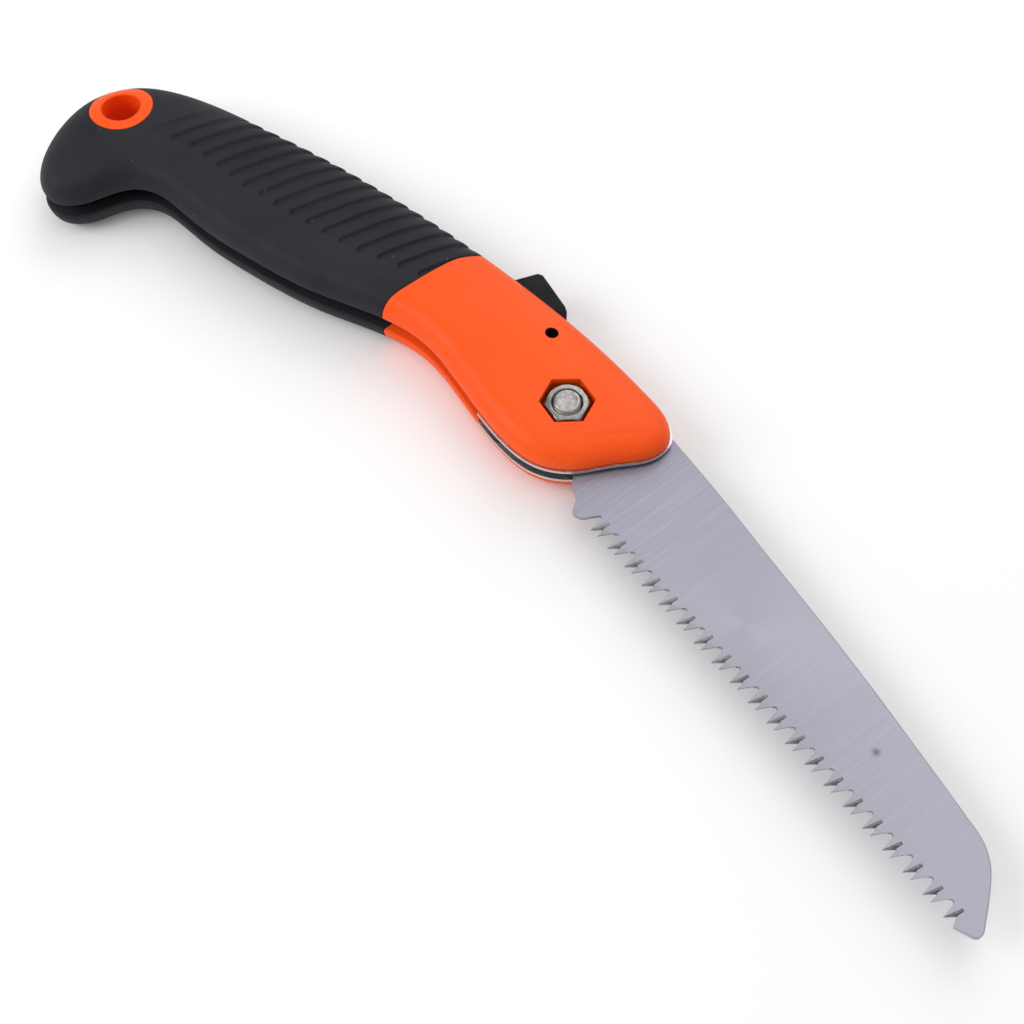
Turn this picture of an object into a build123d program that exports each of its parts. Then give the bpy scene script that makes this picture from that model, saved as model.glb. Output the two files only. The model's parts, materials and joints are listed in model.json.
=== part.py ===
"""Folding pruning saw, opened, lying on its right side.

Built about the pivot (X along the handle towards the blade, Y towards the spine,
Z across the thickness), then moved so that the origin is under the middle of the
whole saw, on the surface that it lies on. Millimetres.
"""
import math
import os

from build123d import *

os.makedirs("parts", exist_ok=True)

# Thickness of the stack, from the middle of the blade outwards
BLADE_HALF = 0.6
LINER_IN = 1.65
LINER_OUT = 2.65
HALF = 11.2
FRONT_HALF = 9.8
FRONT_SLOPE_FROM = -60.0
GAP = 0.05
HOLE_GAP = 0.2

# Black core inside each grip, and the orange tongue that locks it to the front
CORE_INSET = 4.2
CORE_TOP = 8.2
TONGUE = {"x": (-84.0, -50.0), "y": (13.0, 29.0), "z": (5.4, CORE_TOP - 0.3)}
CORE_OUTS = 5
FIRST_CORE_OUT = (-92.0, 22.5)
CORE_OUT_PITCH = 15.0
CORE_OUT_SIZE = (11.0, 11.0, 4.0)

# Pivot
SHANK_R = 4.0
BUSH_R = 5.5
TANG_R = 14.0
WASHER_R = 10.0
NUT_FLATS = 12.0
POCKET_FLATS = 14.0
POCKET_FLOOR = 4.2
NUT_TOP = 8.9
BOLT_END = 9.6
HEX_TURN = 30.0

# Blade
TOOTH_PAIRS = 20
PAIR_PITCH = 7.19
FIRST_TIP = Vector(21.97, -28.98)
TOOTH_LINE = -24.4
SHOULDER_ANGLE = 38.8
SHOULDER_R = 22.4
HEEL_ANGLE = -57.7
HEEL_R = 19.9
FOLD = 156.0

# Lock
LOCK_PIN = Vector(-14.2, 18.4)
LOCK_PIN_R = 1.5
LOCK_PIN_HALF = 4.2
LOCK_BORE_R = 1.9
LEVER_HALF = 1.5
BUTTON_HALF = 4.0
BUTTON_GAP = 0.3
SPRING_FOOT = Vector(-27.5, 22.0)
SPRING_HEIGHT = 4.9
SPRING_R = 1.2
SPRING_WIRE = 0.22
SPRING_TURNS = 4

# Stops, as the radius and direction of each pin from the pivot
STOP_R = 1.6
OPEN_STOP = (19.45, 43.9)
CLOSED_STOP = (18.2, 140.6)

# Hanging eyelet and handle screws
EYELET = Vector(-169.7, 31.4)
EYELET_HOLE_R = 6.0
EYELET_R = 10.0
SCREWS = [(-70.0, 33.5), (-104.0, 35.0), (-150.0, 37.0)]
SCREW_R = 1.5
SCREW_HEAD_R = 3.0
SCREW_HEAD_Z = (-9.4, -7.2)
SCREW_RECESS = (3.6, 0.8, 2.4)
SCREW_END = 6.5
BOSS_R = 4.0
CHAMFER = 0.5

# Handle outline where each half meets the slot: x, y and how far the edge rolls in
OUTLINE = [
    (30.0, 3.5, 5.0), (28.0, -1.6, 5.5), (19.5, -8.6, 6.5), (10.0, -15.9, 6.5),
    (0.0, -18.9, 6.5), (-12.2, -16.2, 6.5), (-24.3, -10.1, 6.5), (-35.3, -3.7, 6.5),
    (-47.0, 1.8, 6.5), (-62.0, 3.9, 6.5), (-85.0, 2.8, 6.5), (-108.0, 4.4, 6.5),
    (-128.0, 7.8, 6.5), (-138.0, 10.7, 6.5), (-145.0, 12.0, 6.5), (-151.5, 10.8, 6.5),
    (-156.5, 6.8, 6.5), (-161.0, 0.8, 6.5), (-165.5, -3.4, 7.0), (-171.0, -5.0, 7.0),
    (-177.0, -2.8, 8.0), (-181.6, 3.4, 9.5), (-184.3, 12.0, 12.0), (-185.0, 22.0, 14.0),
    (-182.9, 31.8, 15.0), (-178.3, 38.8, 15.0), (-171.5, 44.1, 15.0), (-161.7, 47.4, 15.0),
    (-150.0, 48.6, 14.5), (-130.0, 48.0, 14.0), (-105.0, 46.2, 14.0), (-80.0, 42.9, 14.0),
    (-58.0, 38.9, 14.0), (-35.0, 33.5, 14.0), (-15.0, 27.8, 14.0), (5.0, 20.7, 13.0),
    (19.0, 14.6, 10.5), (27.0, 9.6, 7.0),
]
SPACER_FROM_X = -40.0
SPACER_ABOVE_Y = 32.0
SPACER_INSET = 0.3
SPACER_WIDTH = 6.5
GRIP_EDGE = [
    (-43.0, 42.0), (-46.3, 34.0), (-51.0, 27.4), (-56.5, 16.6), (-60.0, 9.4), (-62.1, 4.2), (-64.5, -4.0),
]

BLADE_BACK = [
    (138.2, -55.9), (110.0, -38.2), (90.0, -26.3), (70.0, -14.9), (50.0, -3.4), (30.0, 7.3),
]
BLADE_NOSE = [
    (156.5, -83.0), (154.9, -75.5), (152.9, -69.0), (150.2, -64.6), (146.6, -61.3),
    (142.6, -58.8), (138.2, -55.9),
]
BLADE_HEEL = [
    (10.9, -18.5), (12.6, -20.2), (13.8, -21.9), (14.5, -23.7), (14.85, -25.7), (15.3, -26.6),
    (16.0, -27.05), (17.0, -27.2), (18.3, -27.1), (19.3, -26.5), (20.9, -25.1),
]

# One pair of teeth and the gullet after it, as steps forward and up from the first tip:
# each tooth has an upright front and a sloping back, with a narrow notch between the two
TOOTH_PAIR = [
    (-0.55, 4.1), (0.15, -0.1), (2.1, 2.75), (2.4, 2.85), (2.7, 0.3), (5.0, 4.1), (5.4, 4.65),
    (5.85, 4.9), (6.35, 4.7),
]
FIRST_GULLET = [(-1.9, 4.3), (-1.4, 4.85), (-0.85, 4.7)]
LAST_TOOTH_POINTS = 3

LINER_PROUD = 0.45
LINER_ZONE = [
    (60.0, 60.0), (60.0, -60.0), (-20.8, -60.0), (-22.6, -8.0), (-34.0, 1.6), (-46.0, 8.0),
    (-46.0, 24.5), (-12.4, 24.5), (-12.4, 60.0),
]

LEVER = [
    (1.2, 14.5), (5.0, 13.7), (6.3, 15.0), (6.0, 18.2), (-5.0, 22.4), (-13.0, 25.6),
    (-17.0, 29.0), (-31.0, 32.4), (-32.5, 28.0), (-19.5, 26.4), (-18.7, 19.0), (-17.4, 15.9),
    (-14.4, 14.9), (-11.0, 16.4), (-4.5, 17.6), (0.6, 16.8),
]
BUTTON = [
    (-34.6, 31.0), (-34.9, 32.8), (-29.0, 38.9), (-27.4, 39.0), (-16.5, 32.0), (-15.3, 30.6),
    (-14.1, 27.8), (-16.5, 27.2),
]
BUTTON_WELL = [(-38.0, 24.8), (-38.0, 50.0), (-12.4, 50.0), (-12.4, 24.8)]
SPRING_LEDGE = [
    (-46.0, 19.6), (-21.5, 19.6), (-21.5, 22.0), (-37.0, 22.0), (-40.0, 33.5), (-50.0, 35.5),
]
LOCK_NOTCH = [(0.6, 12.2), (0.6, 16.0), (6.0, 16.0), (5.2, 11.2)]
TIP_HEEL = [(149.65, -86.85), (155.3, -87.1), (156.5, -85.6)]


def polar(radius, degrees):
    angle = math.radians(degrees)
    return Vector(radius * math.cos(angle), radius * math.sin(angle))


def plate(points, low, high):
    """A flat plate with straight edges between two heights."""
    face = make_face(Polyline(*points, close=True))
    return extrude(Pos(0, 0, low) * face, high - low)


def disc(centre, radius, low, high):
    middle = (low + high) / 2
    return Pos(centre.X, centre.Y, middle) * Cylinder(radius, high - low)


def hex_prism(flats, low, high):
    face = RegularPolygon(flats / 2, 6, major_radius=False, rotation=HEX_TURN)
    return extrude(Pos(0, 0, low) * face, high - low)


def inward(index):
    """The direction into the handle, square to the outline, at one of its points."""
    before = OUTLINE[index - 1]
    after = OUTLINE[(index + 1) % len(OUTLINE)]
    along = Vector(after[0] - before[0], after[1] - before[1]).normalized()
    return Vector(along.Y, -along.X)


def ring(height, roll=0.0, depth=0.0):
    """The outline at one height: `roll` runs from 0 at the slot to 1 on the flat side."""
    points = []
    for index, (x, y, edge) in enumerate(OUTLINE):
        points.append(Vector(x, y, height) + inward(index) * (edge * roll + depth))
    return make_face(Spline(*points, periodic=True))


def pillow():
    """One rounded half of the handle, with an edge that rolls in as an ellipse."""
    rings = []
    for step in (0, 22, 45, 67, 90):
        angle = math.radians(step)
        height = LINER_OUT + (HALF - LINER_OUT) * math.sin(angle)
        rings.append(ring(height, roll=1 - math.cos(angle)))
    return loft(rings) - above_front()


def above_front():
    """The wedge taken off so that the flat side falls gently towards the nose."""
    reach = 100.0
    fall = (HALF - FRONT_HALF) / -FRONT_SLOPE_FROM * (reach - FRONT_SLOPE_FROM)
    side = Polyline(
        (FRONT_SLOPE_FROM, HALF), (reach, HALF - fall), (reach, 2 * HALF), (FRONT_SLOPE_FROM, 2 * HALF),
        close=True,
    )
    return extrude(Plane.XZ * make_face(side), reach, both=True)


def core_block(spare):
    """The straight-sided block inside the grip, `spare` larger all round."""
    base = ring(LINER_OUT, depth=CORE_INSET - spare)
    return extrude(base, CORE_TOP + spare - LINER_OUT)


def tongue(spare):
    (x0, x1), (y0, y1), (z0, z1) = TONGUE["x"], TONGUE["y"], TONGUE["z"]
    middle = Pos((x0 + x1) / 2, (y0 + y1) / 2, (z0 + z1) / 2)
    return middle * Box(x1 - x0 + 2 * spare, y1 - y0 + 2 * spare, z1 - z0 + 2 * spare)


def grip_side():
    """Everything behind the line where the black grip meets the orange front."""
    edge = Spline(*GRIP_EDGE)
    last = Vector(*GRIP_EDGE[-1])
    first = Vector(*GRIP_EDGE[0])
    back = Polyline(last, (-220, last.Y - 20), (-220, first.Y + 20), first)
    return extrude(Pos(0, 0, -2 * HALF) * make_face([edge, back]), 4 * HALF)


def boss_points(radius, low, high):
    return [disc(Vector(*place), radius, low, high) for place in SCREWS]


OUTER = pillow()
BEHIND = grip_side()
EYELET_SEAT = disc(EYELET, EYELET_R + GAP, -2 * HALF, 2 * HALF)


def shell_half():
    """The orange front of one side, with its tongue reaching back into the grip."""
    well = plate(BUTTON_WELL, 0, BUTTON_HALF + BUTTON_GAP)
    body = OUTER - BEHIND - well
    body += tongue(0)
    body -= disc(Vector(0, 0), SHANK_R + HOLE_GAP, 0, 2 * HALF)
    body -= disc(LOCK_PIN, LOCK_PIN_R + GAP, 0, LOCK_PIN_HALF + GAP)
    body -= disc(LOCK_PIN, LOCK_BORE_R, LOCK_PIN_HALF + GAP, 2 * HALF)
    return body - hex_prism(POCKET_FLATS, POCKET_FLOOR, 2 * HALF)


def core_half():
    """The black core of one side of the grip, cored out between its ribs."""
    body = (core_block(0) & BEHIND) - tongue(GAP) - EYELET_SEAT
    for column in range(CORE_OUTS):
        x = FIRST_CORE_OUT[0] - CORE_OUT_PITCH * column
        place = Pos(x, FIRST_CORE_OUT[1], LINER_OUT + CORE_OUT_SIZE[2] / 2)
        body -= place * Box(*CORE_OUT_SIZE)
    return body


def grip_half():
    return (OUTER & BEHIND) - core_block(GAP) - EYELET_SEAT


SHELL_HALF = shell_half()
CORE_HALF = core_half()
GRIP_HALF = grip_half()


def with_holes(body, radius, low, high):
    for hole in boss_points(radius, low, high):
        body -= hole
    return body


def right_core():
    body = with_holes(mirror(CORE_HALF, about=Plane.XY), SCREW_R + HOLE_GAP, -HALF, 0)
    return with_holes(body, SCREW_HEAD_R + HOLE_GAP, -HALF, SCREW_HEAD_Z[1])


def right_grip():
    return with_holes(mirror(GRIP_HALF, about=Plane.XY), SCREW_HEAD_R + 2 * HOLE_GAP, -2 * HALF, 0)


def hang_eyelet():
    """The sleeve through the butt, trimmed to the rounded surface on both sides."""
    sleeve = disc(EYELET, EYELET_R, LINER_OUT, 2 * HALF) & OUTER
    middle = disc(EYELET, EYELET_R, -LINER_OUT, LINER_OUT)
    body = sleeve + middle + mirror(sleeve, about=Plane.XY)
    return body - disc(EYELET, EYELET_HOLE_R, -2 * HALF, 2 * HALF)


def back_spacer():
    """The bar along the spine that keeps the halves apart and closes the slot."""
    outer = []
    inner = []
    for index, (x, y, _) in enumerate(OUTLINE):
        if x < SPACER_FROM_X and y > SPACER_ABOVE_Y:
            edge = Vector(x, y)
            outer.append(edge + inward(index) * SPACER_INSET)
            inner.append(edge + inward(index) * SPACER_WIDTH)
    ends = [Line(outer[-1], inner[-1]), Line(inner[0], outer[0])]
    strip = make_face([Spline(*outer), Spline(*inner), *ends])
    body = extrude(Pos(0, 0, -LINER_OUT) * strip, 2 * LINER_OUT)
    body += plate(SPRING_LEDGE, -LINER_IN, LINER_IN)
    for boss in boss_points(BOSS_R, -LINER_OUT, LINER_OUT):
        body += boss
    body = with_holes(body, SCREW_R + HOLE_GAP, -LINER_OUT, LINER_OUT)
    return body - EYELET_SEAT


def liner(low):
    """A steel side plate that stands a little proud of the orange covers round the front."""
    body = extrude(ring(low, depth=-LINER_PROUD), LINER_OUT - LINER_IN)
    body &= plate(LINER_ZONE, low, low + LINER_OUT - LINER_IN)
    body -= disc(Vector(0, 0), SHANK_R + GAP, -HALF, HALF)
    for place in (LOCK_PIN, polar(*OPEN_STOP), polar(*CLOSED_STOP)):
        radius = LOCK_PIN_R if place is LOCK_PIN else STOP_R
        body -= disc(place, radius + GAP, -HALF, HALF)
    return body


def tooth_points():
    """The toothed edge, from the gullet behind the first tooth to the back of the last."""
    along = polar(1, TOOTH_LINE)
    up = polar(1, TOOTH_LINE + 90)
    points = [FIRST_TIP + along * forward + up * rise for forward, rise in FIRST_GULLET]
    for number in range(TOOTH_PAIRS):
        start = FIRST_TIP + along * (PAIR_PITCH * number)
        last = number == TOOTH_PAIRS - 1
        for forward, rise in TOOTH_PAIR[:LAST_TOOTH_POINTS] if last else TOOTH_PAIR:
            points.append(start + along * forward + up * rise)
    return points


def blade():
    """Tang with the lock notch, shoulders for both stops, and the toothed blade."""
    shoulder = [polar(SHOULDER_R, SHOULDER_ANGLE), polar(TANG_R, SHOULDER_ANGLE)]
    heel = [polar(TANG_R, HEEL_ANGLE), polar(HEEL_R, HEEL_ANGLE)]
    teeth = tooth_points()
    middle = (SHOULDER_ANGLE + 360 + HEEL_ANGLE) / 2
    tang = ThreePointArc(shoulder[1], polar(TANG_R, middle), heel[0])
    lower = Polyline(*heel, *BLADE_HEEL, *teeth, *TIP_HEEL, BLADE_NOSE[0])
    back = Polyline(*BLADE_BACK, *shoulder)
    face = make_face([tang, lower, Spline(*BLADE_NOSE), back])
    body = extrude(Pos(0, 0, -BLADE_HALF) * face, 2 * BLADE_HALF)
    body -= disc(Vector(0, 0), BUSH_R + GAP, -HALF, HALF)
    for turn in (0, FOLD):
        body -= Rot(0, 0, turn) * plate(LOCK_NOTCH, -1, 1)
    return body


def washer(low):
    ring_plate = disc(Vector(0, 0), WASHER_R, low, low + LINER_IN - BLADE_HALF - 2 * GAP)
    return ring_plate - disc(Vector(0, 0), BUSH_R + 2 * GAP, -HALF, HALF)


def pivot_bush():
    sleeve = disc(Vector(0, 0), BUSH_R, -LINER_IN, LINER_IN)
    return sleeve - disc(Vector(0, 0), SHANK_R + GAP, -HALF, HALF)


def pivot_bolt():
    head = hex_prism(NUT_FLATS, -NUT_TOP, -POCKET_FLOOR)
    body = head + disc(Vector(0, 0), SHANK_R, -POCKET_FLOOR, BOLT_END)
    tip = body.faces().sort_by(Axis.Z)[-1].edges()
    return chamfer(tip, 2 * CHAMFER)


def pivot_nut():
    body = hex_prism(NUT_FLATS, POCKET_FLOOR, NUT_TOP)
    return body - disc(Vector(0, 0), SHANK_R + GAP, 0, HALF)


def lock_lever():
    body = plate(LEVER, -LEVER_HALF, LEVER_HALF)
    return body - disc(LOCK_PIN, LOCK_PIN_R + GAP, -HALF, HALF)


def lock_button():
    body = plate(BUTTON, -BUTTON_HALF, BUTTON_HALF)
    body = chamfer(body.edges().filter_by(GeomType.LINE).filter_by(Plane.XY), CHAMFER)
    return body - plate(LEVER, -LEVER_HALF, LEVER_HALF)


def lock_spring():
    """Compression spring under the back of the lever, standing on the spacer's ledge."""
    rise = SPRING_HEIGHT - 2 * SPRING_WIRE
    coil = Helix(rise / SPRING_TURNS, rise, SPRING_R)
    section = Plane(origin=coil @ 0, z_dir=coil % 0) * Circle(SPRING_WIRE)
    body = sweep(section, path=coil, is_frenet=True)
    return Pos(SPRING_FOOT.X, SPRING_FOOT.Y + SPRING_WIRE, 0) * (Rot(-90, 0, 0) * body)


def handle_screws():
    """Three self-tapping screws with cross recesses, driven from the right side."""
    low, high = SCREW_HEAD_Z
    screws = []
    for x, y in SCREWS:
        place = Vector(x, y)
        screw = disc(place, SCREW_HEAD_R, low, high) + disc(place, SCREW_R, high, SCREW_END)
        for turn in (0, 90):
            screw -= Pos(x, y, low) * Rot(0, 0, turn) * Box(*SCREW_RECESS)
        screws.append(screw)
    return Compound(children=screws)


NODES = {
    "left_shell": SHELL_HALF,
    "right_shell": mirror(SHELL_HALF, about=Plane.XY),
    "left_core": with_holes(CORE_HALF, SCREW_R + GAP, 0, SCREW_END + 0.5),
    "right_core": right_core(),
    "left_grip": GRIP_HALF,
    "right_grip": right_grip(),
    "hang_eyelet": hang_eyelet(),
    "back_spacer": back_spacer(),
    "left_liner": liner(LINER_IN),
    "right_liner": liner(-LINER_OUT),
    "blade": blade(),
    "pivot_bolt": pivot_bolt(),
    "pivot_nut": pivot_nut(),
    "pivot_bush": pivot_bush(),
    "left_washer": washer(BLADE_HALF + GAP),
    "right_washer": washer(-LINER_IN + GAP),
    "lock_lever": lock_lever(),
    "lock_button": lock_button(),
    "lock_pin": disc(LOCK_PIN, LOCK_PIN_R, -LOCK_PIN_HALF, LOCK_PIN_HALF),
    "lock_spring": lock_spring(),
    "open_stop_pin": disc(polar(*OPEN_STOP), STOP_R, -LINER_OUT, LINER_OUT),
    "closed_stop_pin": disc(polar(*CLOSED_STOP), STOP_R, -LINER_OUT, LINER_OUT),
    "handle_screws": handle_screws(),
}

whole = Compound(children=[Compound(node.solids()) for node in NODES.values()]).bounding_box()
SHIFT = Vector(-whole.center().X, -whole.center().Y, -whole.min.Z)
for name, node in NODES.items():
    export_step(Pos(*SHIFT) * Compound(node.solids()), f"parts/{name}.step")
print("pivot at", SHIFT)
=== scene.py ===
"""Looks of the folding pruning saw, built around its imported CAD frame. Lengths in metres."""
import json
import math

import bmesh
import bpy
import numpy as np
from mathutils import Matrix, Vector
from mathutils.bvhtree import BVHTree


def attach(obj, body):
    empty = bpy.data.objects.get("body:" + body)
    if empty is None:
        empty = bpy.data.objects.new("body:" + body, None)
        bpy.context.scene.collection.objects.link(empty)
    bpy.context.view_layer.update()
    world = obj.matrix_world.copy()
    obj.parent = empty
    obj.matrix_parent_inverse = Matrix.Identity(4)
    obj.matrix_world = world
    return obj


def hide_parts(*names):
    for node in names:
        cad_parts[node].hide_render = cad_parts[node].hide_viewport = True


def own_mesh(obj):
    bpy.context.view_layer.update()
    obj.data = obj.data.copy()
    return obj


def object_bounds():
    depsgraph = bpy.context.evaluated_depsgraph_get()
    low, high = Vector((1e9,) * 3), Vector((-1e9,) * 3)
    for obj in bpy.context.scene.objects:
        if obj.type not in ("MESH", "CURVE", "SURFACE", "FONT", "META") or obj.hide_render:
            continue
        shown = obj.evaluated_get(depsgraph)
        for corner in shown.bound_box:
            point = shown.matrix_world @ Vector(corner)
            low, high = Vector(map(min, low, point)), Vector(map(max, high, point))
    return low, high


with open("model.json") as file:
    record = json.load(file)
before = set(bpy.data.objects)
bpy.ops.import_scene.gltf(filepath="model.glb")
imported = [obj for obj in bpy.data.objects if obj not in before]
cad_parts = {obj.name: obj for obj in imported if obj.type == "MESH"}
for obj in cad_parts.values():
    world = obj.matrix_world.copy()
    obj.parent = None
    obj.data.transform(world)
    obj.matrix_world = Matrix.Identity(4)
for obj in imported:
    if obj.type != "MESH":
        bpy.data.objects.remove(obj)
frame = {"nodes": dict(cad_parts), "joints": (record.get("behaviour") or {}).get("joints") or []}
CAD_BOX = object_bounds()

MM = 0.001
JOINTS = {joint["name"]: joint for joint in frame["joints"]}
PIVOT = np.array(JOINTS["blade_fold"]["pos_m"])
LOCK_AXIS = (np.array(JOINTS["lock_press"]["pos_m"]) - PIVOT) / MM

# Millimetres from the middle of the blade and from the pivot, as in the CAD model
SLOT_HALF = 2.65
HALF = 11.2
FRONT_HALF = 9.8
FRONT_SLOPE_FROM = -60.0
BLADE_HALF = 0.6
EYELET = (-169.7, 31.4)
EYELET_R = 10.0
HOLE_R = 6.0
SCREWS = [(-70.0, 33.5), (-104.0, 35.0), (-150.0, 37.0)]
SCREW_RECESS_R = 3.4
HEX_TURN = math.radians(30)
POCKET_FLATS = 14.0
POCKET_FLOOR = 4.2
NUT_FLATS = 12.0
NUT_TOP = 8.9
SHANK_R = 4.0
SHANK_GAP = 0.2
BOLT_END = 9.6
LOCK_BORE_R = 1.9
CORE_INSET = 4.2
CORE_TOP = 8.2
# A height beyond every part of the saw, for cutters that go right through
PAST_ALL = 30

# Handle outline at the slot: x, y and how far the edge rolls in
OUTLINE = [
    (30.0, 3.5, 5.0), (28.0, -1.6, 5.5), (19.5, -8.6, 6.5), (10.0, -15.9, 6.5),
    (0.0, -18.9, 6.5), (-12.2, -16.2, 6.5), (-24.3, -10.1, 6.5), (-35.3, -3.7, 6.5),
    (-47.0, 1.8, 6.5), (-62.0, 3.9, 6.5), (-85.0, 2.8, 6.5), (-108.0, 4.4, 6.5),
    (-128.0, 7.8, 6.5), (-138.0, 10.7, 6.5), (-145.0, 12.0, 6.5), (-151.5, 10.8, 6.5),
    (-156.5, 6.8, 6.5), (-161.0, 0.8, 6.5), (-165.5, -3.4, 7.0), (-171.0, -5.0, 7.0),
    (-177.0, -2.8, 8.0), (-181.6, 3.4, 9.5), (-184.3, 12.0, 12.0), (-185.0, 22.0, 14.0),
    (-182.9, 31.8, 15.0), (-178.3, 38.8, 15.0), (-171.5, 44.1, 15.0), (-161.7, 47.4, 15.0),
    (-150.0, 48.6, 14.5), (-130.0, 48.0, 14.0), (-105.0, 46.2, 14.0), (-80.0, 42.9, 14.0),
    (-58.0, 38.9, 14.0), (-35.0, 33.5, 14.0), (-15.0, 27.8, 14.0), (5.0, 20.7, 13.0),
    (19.0, 14.6, 10.5), (27.0, 9.6, 7.0),
]
NOSE_POINT = 0
BUTT_POINT = 20
GRIP_EDGE = [
    (-43.0, 42.0), (-46.3, 34.0), (-51.0, 27.4), (-56.5, 16.6), (-60.0, 9.4), (-62.1, 4.2), (-64.5, -4.0),
]
SEAM = 0.14

# The side crowns over this many times the roll that the CAD model's edge has
CROWN_REACH = 1.5
BUTT_CROWN_MORE = 0.18
BUTT_CROWN_TO = -135.0
LIP = 0.7
SMOOTHING_PASSES = 120
SMOOTHED_BELOW = 0.6
# Grooves stay this far above the core, from a little outside its edge inwards
CORE_COVER = 0.12
CORE_MARGIN = 0.4

# Ribs of the grip: where each one ends, towards the belly and, near the butt, the spine
RIB_PITCH = 6.53
RIB_LEAN = 0.70
RIB_START = -109.6
RIB_DEPTH = 0.8
RIB_FIRST_X = -163.0
RIB_RISE = 0.84
RIB_DROP = 0.11
RIB_FOOT_X = [-160.0, -143.0, -131.0, -119.0, -98.0, -80.0, -60.0]
RIB_FOOT_Y = [26.5, 27.2, 24.4, 21.4, 18.4, 16.3, 17.2]
RIB_TOP_X = [-160.0, -148.0, -141.0, -135.0, -127.0]
RIB_TOP_Y = [34.0, 38.0, 40.5, 43.0, 60.0]

# Blade
TOOTH_PAIRS = 20
PAIR_PITCH = 7.19
FIRST_TIP = (21.97, -28.98)
TOOTH_LINE = math.radians(-24.4)
SET = 0.3
# A tooth's tip reaches this far outwards and inwards of its set
TIP_OUT = 0.25
TIP_IN = 0.45
# The ground back goes this far past the blade's middle, and the facet ends this far short of it
BACK_DEPTH = 0.25
FACET_END = 0.2
# One pair of teeth as steps forward and up from the first tip
TOOTH_A = [(-0.55, 4.1), (0.15, -0.1), (2.1, 2.75)]
TOOTH_B = [(2.4, 2.85), (2.7, 0.3), (5.0, 4.1)]
FACET_A = [(1.5, 5.2), (2.35, 4.9)]
FACET_B = [(4.3, 5.0), (5.1, 4.8)]
GULLET = [(5.4, 4.65), (5.85, 4.9), (6.35, 4.7)]
FIRST_GULLET = [(-1.9, 4.3), (-1.4, 4.85), (-0.85, 4.7)]
BLADE_BACK = [
    (138.2, -55.9), (110.0, -38.2), (90.0, -26.3), (70.0, -14.9), (50.0, -3.4), (30.0, 7.3),
]
BLADE_NOSE = [
    (149.65, -86.85), (155.3, -87.1), (156.3, -86.4), (156.8, -84.9), (156.5, -83.0), (154.9, -75.5),
    (152.9, -69.0), (150.2, -64.6), (146.6, -61.3), (142.6, -58.8),
]
BLADE_HEEL = [
    (10.9, -18.5), (12.6, -20.2), (13.8, -21.9), (14.5, -23.7), (14.85, -25.7), (15.3, -26.6),
    (16.0, -27.05), (17.0, -27.2), (18.3, -27.1), (19.3, -26.5), (20.9, -25.1),
]
TANG_R = 14.0
BUSH_R = 5.55
SHOULDER = (22.4, math.radians(38.8))
HEEL = (19.9, math.radians(-57.7))
BACK_CHAMFER = (0.35, 0.16)
TEST_MARK = (115.8, -53.3)
NOTCH = [(6.0, 12.65), (5.2, 11.2), (0.6, 12.2), (0.6, 14.0)]
FOLD = math.radians(JOINTS["blade_fold"]["range_deg"][1])

BUTTON = [
    (-34.6, 31.0), (-34.9, 32.8), (-29.0, 38.9), (-27.4, 39.0), (-16.5, 32.0), (-15.3, 30.6),
    (-14.1, 27.8), (-16.5, 27.2),
]
BUTTON_HALF = 4.0
BUTTON_GAP = 0.3
BUTTON_WELL = [(-38.0, 24.8), (-12.4, 24.8), (-12.4, 60.0), (-38.0, 60.0)]
SPRING_FOOT = (-27.5, 22.0)
SPRING_HEIGHT = 4.9
SPRING_R = 1.2
SPRING_WIRE = 0.22
SPRING_TURNS = 4

# Points closer than the first are merged, edges shorter than the second collapse
MERGE_GAP = 0.0004
SHORTEST_EDGE = 0.0001
# A boolean may move the mesh's box outwards by this much and no more
BOX_SLACK = 0.01
# A hexagon's corners are broken from this share of half its width, and fall at this slope
CORNER_FROM = 0.955
CORNER_SLOPE = 0.55


# ---------------------------------------------------------------- meshes

def to_row(points):
    """Handle-frame millimetres to the row's metres."""
    return np.asarray(points, float) * MM + PIVOT


def mesh_piece(name, verts, faces, smooth=True, angle=35):
    """A piece from handle-frame points; edges sharper than `angle` degrees stay crisp."""
    mesh = bpy.data.meshes.new(name)
    mesh.from_pydata([tuple(v) for v in to_row(verts)], [], [tuple(f) for f in faces])
    mesh.validate()
    piece = bpy.data.objects.new(name, mesh)
    bpy.context.scene.collection.objects.link(piece)
    tidy_mesh(piece)
    if smooth:
        shade(piece, angle)
    return piece


def tidy_mesh(piece):
    """Merges doubled points, drops collapsed faces and turns the faces outwards."""
    work = bmesh.new()
    work.from_mesh(piece.data)
    bmesh.ops.remove_doubles(work, verts=work.verts, dist=MERGE_GAP * MM)
    bmesh.ops.dissolve_degenerate(work, edges=work.edges, dist=SHORTEST_EDGE * MM)
    bmesh.ops.recalc_face_normals(work, faces=work.faces)
    work.to_mesh(piece.data)
    work.free()


def shade(piece, angle):
    """Smooth shading, with a crisp line at every edge sharper than `angle` degrees."""
    work = bmesh.new()
    work.from_mesh(piece.data)
    limit = math.radians(angle)
    for edge in work.edges:
        edge.smooth = len(edge.link_faces) == 2 and edge.calc_face_angle(0) < limit
    for face in work.faces:
        face.smooth = True
    work.to_mesh(piece.data)
    work.free()


def grid_faces(rows, columns, wrap_rows=False, wrap_columns=False):
    """Four-sided faces between the neighbours of a grid of points, listed row by row."""
    faces = []
    for i in range(rows if wrap_rows else rows - 1):
        for j in range(columns if wrap_columns else columns - 1):
            i2 = (i + 1) % rows
            j2 = (j + 1) % columns
            faces.append((i * columns + j, i2 * columns + j, i2 * columns + j2, i * columns + j2))
    return faces


def prism_piece(name, points, low, high):
    """A flat-sided prism over a closed outline, used as a cutter or as a blank."""
    return prisms_piece(name, [points], low, high)


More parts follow.
